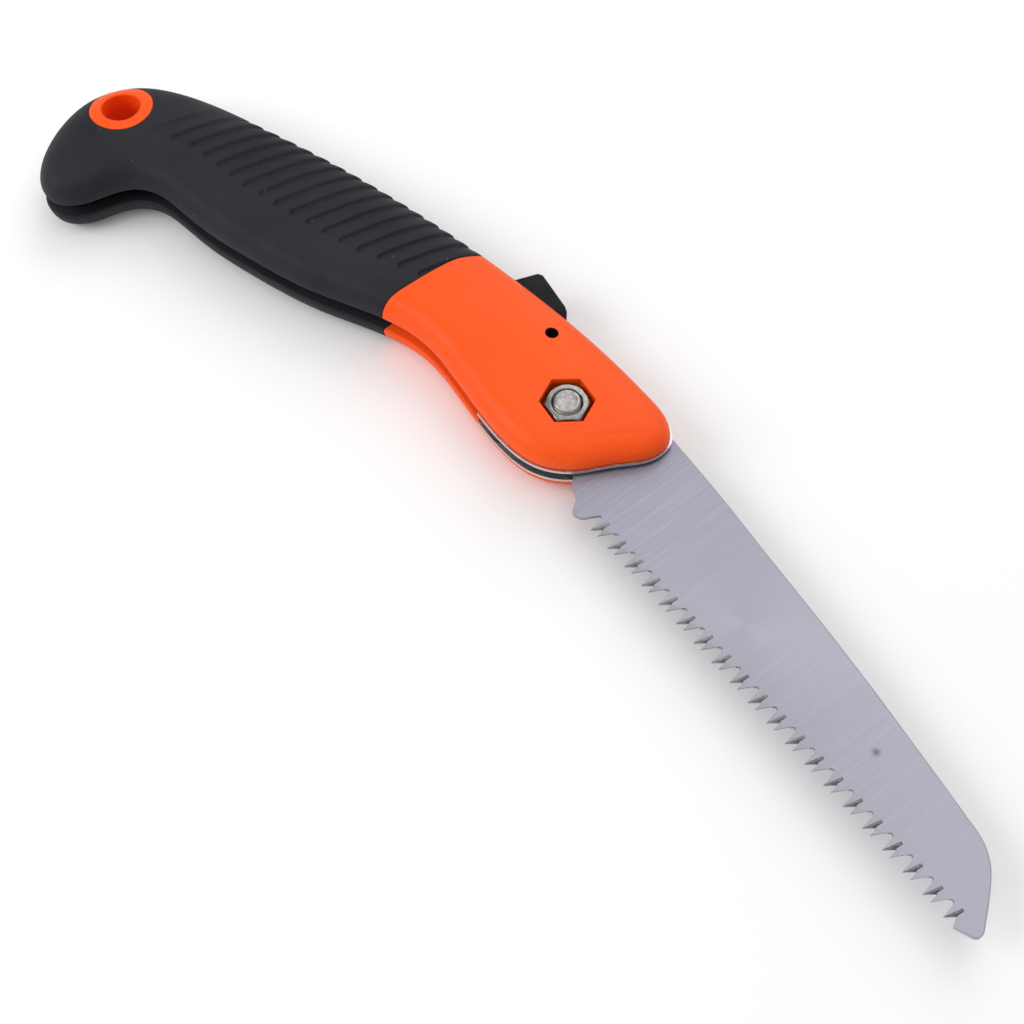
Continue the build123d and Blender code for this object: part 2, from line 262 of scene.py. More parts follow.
def prisms_piece(name, outlines, low, high):
    """Several prisms that don't touch, as one piece."""
    verts = []
    faces = []
    for points in outlines:
        first = len(verts)
        count = len(points)
        verts += [(x, y, low) for x, y in points] + [(x, y, high) for x, y in points]
        faces.append(tuple(range(first, first + count))[::-1])
        faces.append(tuple(range(first + count, first + 2 * count)))
        for i in range(count):
            j = (i + 1) % count
            faces.append((first + i, first + j, first + count + j, first + count + i))
    return mesh_piece(name, verts, faces, smooth=False)


def circle_points(centre, radius, count=64, turn=0.0):
    angles = turn + np.arange(count) * 2 * math.pi / count
    return [(centre[0] + radius * math.cos(a), centre[1] + radius * math.sin(a)) for a in angles]


def mesh_extent(mesh):
    """Lowest and highest corner of a mesh, and its volume."""
    work = bmesh.new()
    work.from_mesh(mesh)
    places = np.array([vert.co[:] for vert in work.verts]).reshape(-1, 3)
    volume = work.calc_volume(signed=True)
    work.free()
    if not len(places):
        return np.zeros(3), np.zeros(3), 0.0
    return places.min(0), places.max(0), volume


def cut(piece, cutter, operation="DIFFERENCE"):
    """Applies a boolean and throws the cutter away, and stops if the result can't be right."""
    modifier = piece.modifiers.new("cut", "BOOLEAN")
    modifier.object = cutter
    modifier.operation = operation
    modifier.solver = "EXACT"
    depsgraph = bpy.context.evaluated_depsgraph_get()
    result = bpy.data.meshes.new_from_object(piece.evaluated_get(depsgraph))
    before = mesh_extent(piece.data)
    after = mesh_extent(result)
    slack = BOX_SLACK * MM
    grown = (after[0] < before[0] - slack).any() or (after[1] > before[1] + slack).any()
    if grown or not 0 < after[2] < before[2]:
        raise RuntimeError(f"a boolean went wrong on {piece.name}")
    piece.modifiers.clear()
    piece.data = result
    bpy.data.objects.remove(cutter)


def bevelled(piece, width, segments=3, angle=35):
    """Applies a bevel to the piece's sharp edges."""
    modifier = piece.modifiers.new("bevel", "BEVEL")
    modifier.width = width * MM
    modifier.segments = segments
    modifier.limit_method = "ANGLE"
    modifier.angle_limit = math.radians(angle)
    depsgraph = bpy.context.evaluated_depsgraph_get()
    result = bpy.data.meshes.new_from_object(piece.evaluated_get(depsgraph))
    piece.modifiers.clear()
    piece.data = result
    shade(piece, 30)


def mirrored(piece, name):
    """The same piece for the other side of the saw."""
    mesh = piece.data.copy()
    other = bpy.data.objects.new(name, mesh)
    bpy.context.scene.collection.objects.link(other)
    flip = Matrix.Translation((0, 0, 2 * PIVOT[2])) @ Matrix.Scale(-1, 4, (0, 0, 1))
    mesh.transform(flip)
    mesh.flip_normals()
    return other


def finish_piece(piece, body, nodes, material):
    """Gives a piece its material, the body it moves with and the CAD nodes it stands in for."""
    piece.data.materials.clear()
    piece.data.materials.append(material)
    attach(piece, body)
    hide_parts(*nodes)


# ---------------------------------------------------------------- the handle's surface

class ClosedSpline:
    """A smooth closed curve through points, with as many columns as the points have."""

    def __init__(self, points):
        self.points = np.array(points, float)
        steps = np.linalg.norm(np.roll(self.points, -1, 0)[:, :2] - self.points[:, :2], axis=1)
        self.knots = np.concatenate([[0], np.cumsum(steps)])
        self.steps = steps
        count = len(steps)
        matrix = np.zeros((count, count))
        right = np.zeros((count, self.points.shape[1]))
        for i in range(count):
            before = steps[i - 1]
            after = steps[i]
            matrix[i, i - 1] += before
            matrix[i, i] += 2 * (before + after)
            matrix[i, (i + 1) % count] += after
            ahead = (self.points[(i + 1) % count] - self.points[i]) / after
            behind = (self.points[i] - self.points[i - 1]) / before
            right[i] = 6 * (ahead - behind)
        self.curvature = np.linalg.solve(matrix, right)

    def at(self, lengths):
        lengths = np.mod(lengths, self.knots[-1])
        i = np.clip(np.searchsorted(self.knots, lengths, side="right") - 1, 0, len(self.steps) - 1)
        j = (i + 1) % len(self.steps)
        step = self.steps[i][:, None]
        u = (lengths - self.knots[i])[:, None]
        v = step - u
        m0 = self.curvature[i]
        m1 = self.curvature[j]
        value = (m0 * v**3 + m1 * u**3) / (6 * step)
        value += (self.points[i] / step - m0 * step / 6) * v
        return value + (self.points[j] / step - m1 * step / 6) * u


def rolled_edge(spline, lengths):
    """Points round the outline with their inward direction and roll."""
    values = spline.at(lengths)
    ahead = spline.at(lengths + 0.5)[:, :2]
    behind = spline.at(lengths - 0.5)[:, :2]
    along = ahead - behind
    along /= np.linalg.norm(along, axis=1)[:, None]
    normal = np.stack([along[:, 1], -along[:, 0]], 1)
    return values[:, :2], normal, values[:, 2]


def curve_through(points, steps):
    """A smooth open curve through points, as a list of closer points."""
    points = np.array(points, float)
    padded = np.vstack([2 * points[0] - points[1], points, 2 * points[-1] - points[-2]])
    fine = []
    for i in range(1, len(padded) - 2):
        p0, p1, p2, p3 = padded[i - 1:i + 3]
        for t in np.arange(steps) / steps:
            bend = 2 * p0 - 5 * p1 + 4 * p2 - p3
            twist = 3 * p1 - p0 - 3 * p2 + p3
            fine.append(tuple(0.5 * (2 * p1 + (p2 - p0) * t + bend * t**2 + twist * t**3)))
    return fine + [tuple(points[-1])]


def soft_step(value):
    value = np.clip(value, 0, 1)
    return value * value * (3 - 2 * value)


def rib_height(x, y):
    """Shingled ribs: each rises slowly towards the blade and drops sharply."""
    foot = np.interp(x, RIB_FOOT_X, RIB_FOOT_Y)
    top = np.interp(x, RIB_TOP_X, RIB_TOP_Y)
    bent = np.maximum(y, foot + 1.8)
    phase = np.mod((x - RIB_LEAN * bent - RIB_START) / RIB_PITCH, 1)
    rise = np.clip(phase / RIB_RISE, 0, 1)
    drop = soft_step((1 - phase) / RIB_DROP)
    shape = np.sin(rise * math.pi / 2) ** 0.8 * drop
    fade = soft_step((y - foot + 0.9) / 2.2)
    fade = fade * np.clip((x - 0.35 * y - RIB_FIRST_X + 6) / 8, 0, 1)
    return fade * soft_step((top - y) / 4 + 1) * (shape - 1)


class HandleEdge:
    """The outline as short straight pieces, to ask how the side crowns at a place."""

    def __init__(self):
        self.spline = ClosedSpline(OUTLINE)
        self.total = self.spline.knots[-1]
        self.nose = self.spline.knots[NOSE_POINT]
        self.butt = self.spline.knots[BUTT_POINT]
        points = self.spline.at(np.linspace(0, self.total, 481))
        self.start = points[:-1, :2]
        self.step = points[1:, :2] - self.start
        at_butt = soft_step((BUTT_CROWN_TO - points[:-1, 0]) / 30)
        self.reach = points[:-1, 2] * (CROWN_REACH + BUTT_CROWN_MORE * at_butt)

    def share(self, places):
        """0 where the side has levelled off and 1 at the edge, then the distance from the edge."""
        result = np.zeros(len(places))
        nearest = np.zeros(len(places))
        for first in range(0, len(places), 4000):
            part = places[first:first + 4000]
            gap = part[:, None] - self.start[None]
            along = np.clip((gap * self.step).sum(2) / (self.step**2).sum(1), 0, 1)
            away = np.linalg.norm(gap - along[..., None] * self.step, axis=2)
            result[first:first + 4000] = (1 - away / self.reach).max(1)
            nearest[first:first + 4000] = away.min(1)
        return np.clip(result, 0, 1), nearest


EDGE = HandleEdge()


def side_height(x):
    """Half of the handle's thickness: level along the grip, falling towards the nose."""
    slope = (HALF - FRONT_HALF) / -FRONT_SLOPE_FROM
    return HALF - slope * np.maximum(0, x - FRONT_SLOPE_FROM)


def crowned(grid, skip):
    """Lifts a flat grid to the handle's crowned side, leaving `skip` columns at each border."""
    inner = grid[:, skip:-skip]
    flat = inner.reshape(-1, 3)
    share = EDGE.share(flat[:, :2])[0]
    base = SLOT_HALF + LIP
    height = np.sqrt(1 - share**3).reshape(inner.shape[:2])
    weight = soft_step((SMOOTHED_BELOW - share) / SMOOTHED_BELOW).reshape(inner.shape[:2])
    for _ in range(SMOOTHING_PASSES):
        mean = height.copy()
        rows = height[:-2, 1:-1] + height[2:, 1:-1]
        mean[1:-1, 1:-1] = (rows + height[1:-1, :-2] + height[1:-1, 2:]) / 4
        height += (mean - height) * weight
    inner[..., 2] = base + (side_height(inner[..., 0]) - base) * height
    return grid


def side_grid(stations, across):
    """Rows of points from the spine's edge over the crowned side to the belly's edge."""
    t = np.linspace(0, 1, stations)
    belly = EDGE.nose + (EDGE.butt - EDGE.nose) * warp_belly(t)
    spine = EDGE.total - (EDGE.total - EDGE.butt) * t
    rolls = np.radians(np.concatenate([np.linspace(0, 60, 13), np.linspace(65, 90, 6)]))
    lips = np.radians([0, 30, 60])
    sides = []
    for lengths in (spine, belly):
        edge, normal, roll = rolled_edge(EDGE.spline, lengths)
        reach = np.minimum(roll, 8.5)[:, None]
        layers = []
        for angle in lips:
            place = edge + normal * LIP * (1 - math.sin(angle))
            height = SLOT_HALF + LIP * (1 - math.cos(angle))
            layers.append(np.column_stack([place, np.full(stations, height)]))
        for angle in rolls:
            place = edge + normal * reach * (1 - math.cos(angle))
            layers.append(np.column_stack([place, np.full(stations, SLOT_HALF + LIP)]))
        sides.append(layers)
    shares = np.linspace(0, 1, across + 2)[1:-1]
    middle = [sides[0][-1] * (1 - share) + sides[1][-1] * share for share in shares]
    strip = np.array(sides[0] + middle + sides[1][::-1])
    return crowned(strip.transpose(1, 0, 2).copy(), len(lips))


def half_handle(name, stations, across, ribs):
    """One closed half of the handle, nose to butt."""
    grid = side_grid(stations, across)
    if ribs:
        grid = displaced(grid)
    columns = grid.shape[1]
    faces = grid_faces(stations, columns)
    for i in range(stations - 1):
        first = i * columns
        second = (i + 1) * columns
        faces.append((first, first + columns - 1, second + columns - 1, second))
    return mesh_piece(name, grid.reshape(-1, 3), faces)


def warp_belly(t):
    """Keeps the belly end of each station opposite its spine end."""
    along_spine = [0, 0.09, 0.30, 0.52, 0.70, 0.80, 1.0]
    along_belly = [0, 0.17, 0.42, 0.60, 0.735, 0.84, 1.0]
    return np.interp(t, along_spine, along_belly)


def displaced(grid):
    """Presses the grooves between the ribs into the surface, along its normals."""
    normal = np.cross(np.gradient(grid, axis=1), np.gradient(grid, axis=0))
    size = np.linalg.norm(normal, axis=2)
    size[size < 1e-9] = 1
    normal /= size[..., None]
    flip = np.sign(normal[..., 2:3])
    flip[flip == 0] = 1
    depth = RIB_DEPTH * rib_height(grid[..., 0], grid[..., 1])
    lip = np.clip((grid[..., 2] - SLOT_HALF - 0.3) / 1.5, 0, 1)
    pressed = grid + normal * flip * (depth * lip)[..., None]
    from_edge = EDGE.share(pressed[..., :2].reshape(-1, 2))[1].reshape(depth.shape)
    over_core = from_edge > CORE_INSET - CORE_MARGIN
    floor = np.minimum(grid[..., 2], CORE_TOP + CORE_COVER)
    pressed[..., 2] = np.where(over_core, np.maximum(pressed[..., 2], floor), pressed[..., 2])
    return pressed


def grip_region(offset):
    """Closed outline of everything behind the grip's front edge."""
    curve = [(x + offset, y) for x, y in curve_through(GRIP_EDGE, 8)]
    return [(-230.0, 70.0)] + curve + [(-230.0, -40.0)]


def hex_points(flats):
    return circle_points((0, 0), flats / math.sqrt(3), 6, HEX_TURN)


def cut_shell_openings(shell):
    """The bolt's pocket and hole, the lock pin's hole and the well of the button."""
    cut(shell, prism_piece("cutter", hex_points(POCKET_FLATS), POCKET_FLOOR, PAST_ALL))
    cut(shell, prism_piece("cutter", circle_points((0, 0), SHANK_R + SHANK_GAP), 0, PAST_ALL))
    lock_hole = circle_points(tuple(LOCK_AXIS[:2]), LOCK_BORE_R, 48)
    cut(shell, prism_piece("cutter", lock_hole, 0, PAST_ALL))
    cut(shell, prism_piece("cutter", BUTTON_WELL, 0, BUTTON_HALF + BUTTON_GAP))


def make_shells(material):
    """The two orange covers in front of the grips."""
    left = half_handle("left_cover", 420, 40, ribs=False)
    cut(left, prism_piece("cutter", grip_region(SEAM), -1, PAST_ALL))
    cut_shell_openings(left)
    shade(left, 32)
    right = mirrored(left, "right_cover")
    finish_piece(left, "handle", ["left_shell"], material)
    finish_piece(right, "handle", ["right_shell"], material)


def make_grips(material):
    """The ribbed grips behind the covers; the right one also has the screws' recesses."""
    left = half_handle("left_soft_grip", 900, 72, ribs=True)
    cut(left, prism_piece("cutter", grip_region(-SEAM), -1, PAST_ALL), "INTERSECT")
    cut(left, prism_piece("cutter", circle_points(EYELET, EYELET_R, 120), 0, PAST_ALL))
    shade(left, 50)
    right = mirrored(left, "right_soft_grip")
    recesses = [circle_points(place, SCREW_RECESS_R, 40) for place in SCREWS]
    cut(right, prisms_piece("cutter", recesses, -PAST_ALL, 0))
    shade(right, 50)
    finish_piece(left, "handle", ["left_grip"], material)
    finish_piece(right, "handle", ["right_grip"], material)


def smooth_side():
    """The crowned side without ribs, to ask its height at any place."""
    grid = side_grid(300, 48)
    corners = grid_faces(*grid.shape[:2])
    return BVHTree.FromPolygons([tuple(p) for p in grid.reshape(-1, 3)], corners)


def make_eyelet(material):
    """Sleeve through the butt with rounded lips that follow the grip's surface."""
    surface = smooth_side()

    def height(place):
        hit = surface.ray_cast(Vector((*place, 40.0)), Vector((0, 0, -1)))[0]
        return hit.z if hit else SLOT_HALF + LIP

    around = 144
    lip = 0.8
    proud = 0.05
    rows = []
    for angle in np.arange(around) * 2 * math.pi / around:
        way = np.array([math.cos(angle), math.sin(angle)])
        row = []
        for radius, drop in ((9.95, 1.2), (9.95, 0.3), (9.8, 0.06), (9.4, 0), (8.6, 0), (7.8, 0), (7.1, 0)):
            place = np.array(EYELET) + way * radius
            row.append((*place, height(place) + proud - drop))
        for turn in np.radians([12, 30, 50, 70, 90]):
            place = np.array(EYELET) + way * (HOLE_R + lip * (1 - math.sin(turn)))
            row.append((*place, height(place) + proud - lip * (1 - math.cos(turn))))
        row.append((*(np.array(EYELET) + way * HOLE_R), 3.0))
        back = [(x, y, -z) for x, y, z in reversed(row)]
        rows.append(row + back)
    points = np.array(rows)
    faces = grid_faces(around, points.shape[1], wrap_rows=True, wrap_columns=True)
    sleeve = mesh_piece("hang_sleeve", points.reshape(-1, 3), faces, angle=50)
    finish_piece(sleeve, "handle", ["hang_eyelet"], material)


# ---------------------------------------------------------------- blade

def tooth_frame():
    """Unit steps along the line of the tooth tips and up from it, into the blade."""
    along = np.array([math.cos(TOOTH_LINE), math.sin(TOOTH_LINE)])
    up = np.array([-along[1], along[0]])
    return along, up


def tooth_steps():
    """Gullets and teeth in order, as (gullet points, tooth corners, facet points, ground side)."""
    along, up = tooth_frame()
    teeth = []
    for number in range(TOOTH_PAIRS):
        start = np.array(FIRST_TIP) + along * PAIR_PITCH * number

        def places(steps):
            return [tuple(start + along * forward + up * rise) for forward, rise in steps]

        gullet = places(GULLET)
        if number == 0:
            teeth.append((places(FIRST_GULLET), None, None, 0))
        teeth.append(([], places(TOOTH_A), places(FACET_A), 1))
        if number < TOOTH_PAIRS - 1:
            teeth.append(([], places(TOOTH_B), places(FACET_B), -1))
            teeth.append((gullet, None, None, 0))
    return teeth


def arc(radius, start, end, count):
    return [(radius * math.cos(a), radius * math.sin(a)) for a in np.linspace(start, end, count)]


def tang_outline():
    """From the open stop's shoulder round the tang, through both lock notches, to the heel."""
    notch = [np.array(p) for p in NOTCH]
    first = [math.atan2(p[1], p[0]) for p in (notch[0], notch[-1])]
    turned = [rotate(p, FOLD) for p in notch]
    second = [math.atan2(p[1], p[0]) % (2 * math.pi) for p in (turned[0], turned[-1])]
    points = [polar(*SHOULDER)]
    points += arc(TANG_R, SHOULDER[1], first[0], 16) + [tuple(p) for p in notch[1:-1]]
    points += arc(TANG_R, first[1], second[0], 60) + [tuple(p) for p in turned[1:-1]]
    points += arc(TANG_R, second[1], 2 * math.pi + HEEL[1], 24) + [polar(*HEEL)]
    return points


def polar(radius, angle):
    return (radius * math.cos(angle), radius * math.sin(angle))


def rotate(point, angle):
    c = math.cos(angle)
    s = math.sin(angle)
    return np.array([point[0] * c - point[1] * s, point[0] * s + point[1] * c])


class BladeMesh:
    """Walks round the blade once, keeping both faces' rims and the walls between them."""

    def __init__(self):
        self.work = bmesh.new()
        self.rims = {1: [], -1: []}
        self.last = None
        self.first = None

    def vertex(self, place, height):
        return self.work.verts.new(tuple(to_row((place[0], place[1], height))))

    def face(self, verts, ground):
        kept = [v for i, v in enumerate(verts) if v is not verts[i - 1]]
        if len(kept) > 2:
            self.work.faces.new(kept).material_index = 1 if ground else 0

    def step(self, stack, ground):
        """Adds one column of vertices, top first, and the wall from the one before."""
        if self.last:
            self.face(self.last + stack[::-1], ground)
        else:
            self.first = stack
        self.last = stack

    def point(self, place, ground=False):
        top = self.vertex(place, BLADE_HALF)
        bottom = self.vertex(place, -BLADE_HALF)
        self.rims[1].append(top)
        self.rims[-1].append(bottom)
        self.step([top, bottom], ground)

    def chamfered(self, place, inward):
        """A point of the back, whose corners are broken."""
        width, depth = BACK_CHAMFER
        inner = (place[0] + inward[0] * width, place[1] + inward[1] * width)
        before = [rim[-1] for rim in (self.rims[1], self.rims[-1])]
        edge = [self.vertex(place, BLADE_HALF - depth), self.vertex(place, depth - BLADE_HALF)]
        caps = [self.vertex(inner, BLADE_HALF), self.vertex(inner, -BLADE_HALF)]
        self.face([before[0], caps[0], edge[0], self.last[0]], False)
        self.face([self.last[-1], edge[1], caps[1], before[1]], False)
        self.rims[1].append(caps[0])
        self.rims[-1].append(caps[1])
        self.step(edge, False)

    def tooth(self, corners, facet, side):
        """Front edge, tip and back edge, with a facet ground into one face."""
        front, tip, back = corners
        self.point(front, True)
        ground_tip = self.vertex(tip, side * (TIP_OUT + SET))
        plain_tip = self.vertex(tip, side * (SET - TIP_IN))
        self.step([ground_tip, plain_tip][::side], True)
        deep_back = self.vertex(back, -side * BACK_DEPTH)
        ground_back = self.vertex(back, side * BLADE_HALF)
        plain_back = self.vertex(back, -side * BLADE_HALF)
        self.step([deep_back, plain_back][::side], True)
        self.last = [ground_back, deep_back, plain_back][::side]
        ridge, corner = (self.vertex(place, side * BLADE_HALF) for place in facet)
        deep_corner = self.vertex(facet[1], side * FACET_END)
        self.face([ground_tip, deep_back, deep_corner, ridge], True)
        self.face([deep_corner, deep_back, ground_back, corner], True)
        self.face([ridge, deep_corner, corner], True)
        self.rims[side] += [ground_tip, ridge, corner, ground_back]
        self.rims[-side] += [plain_tip, plain_back]

    def close(self):
        """Joins the last column of the walk to the first."""
        for end in (0, -1):
            rim = self.rims[1 if end == 0 else -1][-1]
            corner = [rim, self.first[end], self.last[end]]
            self.face(corner[::-1] if end else corner, False)
        self.face(self.last + self.first[::-1], False)

    def bore(self, points):
        """Adds the hole's wall and fills both faces between their rim and the hole."""
        top = [self.vertex(p, BLADE_HALF) for p in points]
        bottom = [self.vertex(p, -BLADE_HALF) for p in points]
        for i in range(len(points)):
            self.work.faces.new((top[i - 1], bottom[i - 1], bottom[i], top[i]))
        for rim, hole in ((self.rims[1], top), (self.rims[-1], bottom)):
            edges = []
            for loop in (rim, hole):
                for i in range(len(loop)):
                    pair = (loop[i - 1], loop[i])
                    edges.append(self.work.edges.get(pair) or self.work.edges.new(pair))
            bmesh.ops.triangle_fill(self.work, use_beauty=True, use_dissolve=False, edges=edges)
        bmesh.ops.recalc_face_normals(self.work, faces=self.work.faces)


def make_blade(material, ground):
    """The blade as one closed mesh: bored tang, ground and set teeth, chamfered back."""
    blade = BladeMesh()
    for place in tang_outline() + curve_through(BLADE_HEEL, 4)[:-1]:
        blade.point(place)
    for gullet, corners, facet, side in tooth_steps():
        for place in gullet:
            blade.point(place, True)
        if corners:
            blade.tooth(corners, facet, side)
    blade.point(BLADE_NOSE[0])
    back = curve_through(BLADE_NOSE[1:] + BLADE_BACK, 5)
    for i, place in enumerate(back):
        before = np.array(back[max(i - 1, 0)])
        after = np.array(back[min(i + 1, len(back) - 1)])
        along = (after - before) / np.linalg.norm(after - before)
        blade.chamfered(place, (-along[1], along[0]))
    blade.close()
    blade.bore(arc(BUSH_R, 0, 2 * math.pi, 73)[:-1])
    mesh = bpy.data.meshes.new("saw_blade")
    blade.work.to_mesh(mesh)
    blade.work.free()
    piece = bpy.data.objects.new("saw_blade", mesh)
    bpy.context.scene.collection.objects.link(piece)
    mesh.materials.append(material)
    mesh.materials.append(ground)
    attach(piece, "blade")
    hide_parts("blade")


# ---------------------------------------------------------------- hardware

def hex_radius(angle, flats):
    """How far a hexagon reaches at an angle."""
    local = (angle - HEX_TURN + math.pi / 6) % (math.pi / 3) - math.pi / 6
    return flats / 2 / math.cos(math.pi / 6 - abs(local))


def hex_rows(flats, profile):
    """Rings of a hexagonal part: profile gives (kind, radius or share, height)."""
    around = 120
    rows = []
    for number in range(around):
        angle = number * 2 * math.pi / around
        reach = hex_radius(angle, flats)
        row = []
        for kind, value, height in profile:
            radius = value if kind == "round" else reach - value
            beyond = max(0.0, radius - CORNER_FROM * flats / 2)
            drop = beyond * CORNER_SLOPE if kind == "corner" else 0
            row.append((radius * math.cos(angle), radius * math.sin(angle), height - drop))
        rows.append(row)
    return rows


def ring_piece(name, rows, closed):
    """A turned part from the same profile at every angle, capped at both ends unless it is closed."""
    columns = len(rows[0])
    points = np.array(rows).reshape(-1, 3)
    faces = grid_faces(len(rows), columns, wrap_rows=True, wrap_columns=closed)
    if not closed:
        faces.append(tuple(i * columns for i in range(len(rows))))
        faces.append(tuple(i * columns + columns - 1 for i in range(len(rows)))[::-1])
    return mesh_piece(name, points, faces, angle=28)


def make_nut(material):
    profile = [
        ("round", 4.05, POCKET_FLOOR), ("round", 4.05, NUT_TOP - 0.55), ("round", 4.45, NUT_TOP - 0.12),
        ("round", 4.6, NUT_TOP), ("round", 5.55, NUT_TOP), ("corner", 0.3, NUT_TOP - 0.03),
        ("corner", 0.0, NUT_TOP - 0.2), ("hex", 0.0, POCKET_FLOOR + 0.5), ("hex", 0.2, POCKET_FLOOR),
    ]
    nut = ring_piece("pivot_lock_nut", hex_rows(NUT_FLATS, profile), closed=True)
    finish_piece(nut, "handle", ["pivot_nut"], material)


def make_bolt(material):
    """Bolt with a chamfered hex head on the right side and a worn threaded end."""
    head = hex_rows(NUT_FLATS, [
        ("round", 0.0, 0.0), ("round", 2.2, 0.0), ("round", 4.6, 0.0), ("round", 5.55, 0.0),
        ("corner", 0.3, -0.03), ("corner", 0.0, -0.2), ("hex", 0.0, POCKET_FLOOR - NUT_TOP + 0.3),
        ("round", SHANK_R, POCKET_FLOOR - NUT_TOP),
    ])
    threads = 9
    thread_from = NUT_TOP - 2.2
    thread_to = BOLT_END - 0.75
    end = [(3.85, -0.45), (3.6, -0.14), (3.3, -0.01), (3.0, 0.0), (2.7, -0.1), (1.4, -0.15), (0.0, -0.16)]
    rows = []
    for number, row in enumerate(head):
        angle = number * 2 * math.pi / len(head)
        way = (math.cos(angle), math.sin(angle))
        line = [(x, y, -NUT_TOP - z) for x, y, z in row]
        line.append((SHANK_R * way[0], SHANK_R * way[1], thread_from - 0.3))
        for step in range(threads):
            radius = SHANK_R - (0.02 if step % 2 == 0 else 0.42)
            height = thread_from + (thread_to - thread_from) * step / (threads - 1)
            line.append((radius * way[0], radius * way[1], height))
        for radius, height in end:
            line.append((radius * way[0], radius * way[1], BOLT_END + height))
        rows.append(line)
    bolt = ring_piece("pivot_hex_bolt", rows, closed=False)
    finish_piece(bolt, "handle", ["pivot_bolt"], material)


def make_button(material):
    button = prism_piece("thumb_button", BUTTON, -BUTTON_HALF, BUTTON_HALF)
    bevelled(button, 0.7)
    finish_piece(button, "lock", ["lock_button"], material)


def make_spring(material):
    """Coil under the lever."""
    around = 10
    count = SPRING_TURNS * 28
    rise = SPRING_HEIGHT - 2 * SPRING_WIRE
    rings = []
    for number in range(count + 1):
        turn = number * SPRING_TURNS * 2 * math.pi / count
        out = np.array([math.cos(turn), 0, math.sin(turn)])
        foot = np.array([SPRING_FOOT[0], SPRING_FOOT[1] + SPRING_WIRE + rise * number / count, 0])
        for angle in np.arange(around) * 2 * math.pi / around:
            bead = out * math.cos(angle) + np.array([0, 1, 0]) * math.sin(angle)
            rings.append(foot + out * SPRING_R + bead * SPRING_WIRE)
    faces = grid_faces(count + 1, around, wrap_columns=True)
    faces.append(tuple(range(around))[::-1])
    faces.append(tuple(range(count * around, (count + 1) * around)))
    spring = mesh_piece("return_spring", np.array(rings), faces, angle=50)
    finish_piece(spring, "handle", ["lock_spring"], material)
    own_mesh(spring)


# ---------------------------------------------------------------- materials

class Shader:
    """A small helper to lay out one node material."""

    def __init__(self, name, color, roughness, metallic=0.0):
        self.material = bpy.data.materials.new(name)
        self.material.use_nodes = True
        self.tree = self.material.node_tree
        self.bsdf = self.tree.nodes["Principled BSDF"]
        self.bsdf.inputs["Base Color"].default_value = (*color, 1)
        self.bsdf.inputs["Roughness"].default_value = roughness
        self.bsdf.inputs["Metallic"].default_value = metallic
        self.place = self.tree.nodes.new("ShaderNodeTexCoord").outputs["Object"]
        self.normal = None

    def link(self, source, target):
        self.tree.links.new(source, target)

    def mapped(self, scale, turn=0.0):
        node = self.tree.nodes.new("ShaderNodeMapping")
        node.inputs["Scale"].default_value = scale
        if turn:
            first = self.tree.nodes.new("ShaderNodeMapping")
            first.inputs["Rotation"].default_value = (0, 0, turn)
            self.link(self.place, first.inputs["Vector"])
            self.link(first.outputs["Vector"], node.inputs["Vector"])
        else:
            self.link(self.place, node.inputs["Vector"])
        return node.outputs["Vector"]

    def noise(self, scale, detail=3.0, roughness=0.5, vector=None):
        node = self.tree.nodes.new("ShaderNodeTexNoise")
        node.inputs["Scale"].default_value = scale
        node.inputs["Detail"].default_value = detail
        node.inputs["Roughness"].default_value = roughness
        self.link(vector or self.place, node.inputs["Vector"])
        return node.outputs["Fac"]

    def range(self, source, low, high, to_low, to_high):
        node = self.tree.nodes.new("ShaderNodeMapRange")
        node.inputs["From Min"].default_value = low
        node.inputs["From Max"].default_value = high
        node.inputs["To Min"].default_value = to_low
        node.inputs["To Max"].default_value = to_high
        self.link(source, node.inputs["Value"])
        return node.outputs["Result"]

    def mix(self, factor, first, second):
        node = self.tree.nodes.new("ShaderNodeMix")
        node.data_type = "RGBA"
        for source, socket in ((first, node.inputs[6]), (second, node.inputs[7])):
            if isinstance(source, tuple):
                socket.default_value = (*source, 1)
            else:
                self.link(source, socket)
        self.link(factor, node.inputs[0])
        return node.outputs[2]

    def along(self):
        """Position along the row's X, in metres."""
        split = self.tree.nodes.new("ShaderNodeSeparateXYZ")
        self.link(self.place, split.inputs[0])
        return split.outputs["X"]

    def away_from(self, place):
        """Distance from an upright line through a place of the handle frame."""
        flat = self.tree.nodes.new("ShaderNodeVectorMath")
        flat.operation = "MULTIPLY"
        flat.inputs[1].default_value = (1, 1, 0)
        self.link(self.place, flat.inputs[0])
        gap = self.tree.nodes.new("ShaderNodeVectorMath")
        gap.operation = "DISTANCE"
        centre = to_row((*place, 0))
        gap.inputs[1].default_value = (centre[0], centre[1], 0)
        self.link(flat.outputs[0], gap.inputs[0])
        return gap.outputs["Value"]

    def color(self, source):
        self.link(source, self.bsdf.inputs["Base Color"])

    def rough(self, source):
        self.link(source, self.bsdf.inputs["Roughness"])

    def bump(self, height, strength, distance):
        node = self.tree.nodes.new("ShaderNodeBump")
        node.inputs["Strength"].default_value = strength
        node.inputs["Distance"].default_value = distance
        self.link(height, node.inputs["Height"])
        if self.normal:
            self.link(self.normal, node.inputs["Normal"])
        self.normal = node.outputs["Normal"]
        self.link(self.normal, self.bsdf.inputs["Normal"])


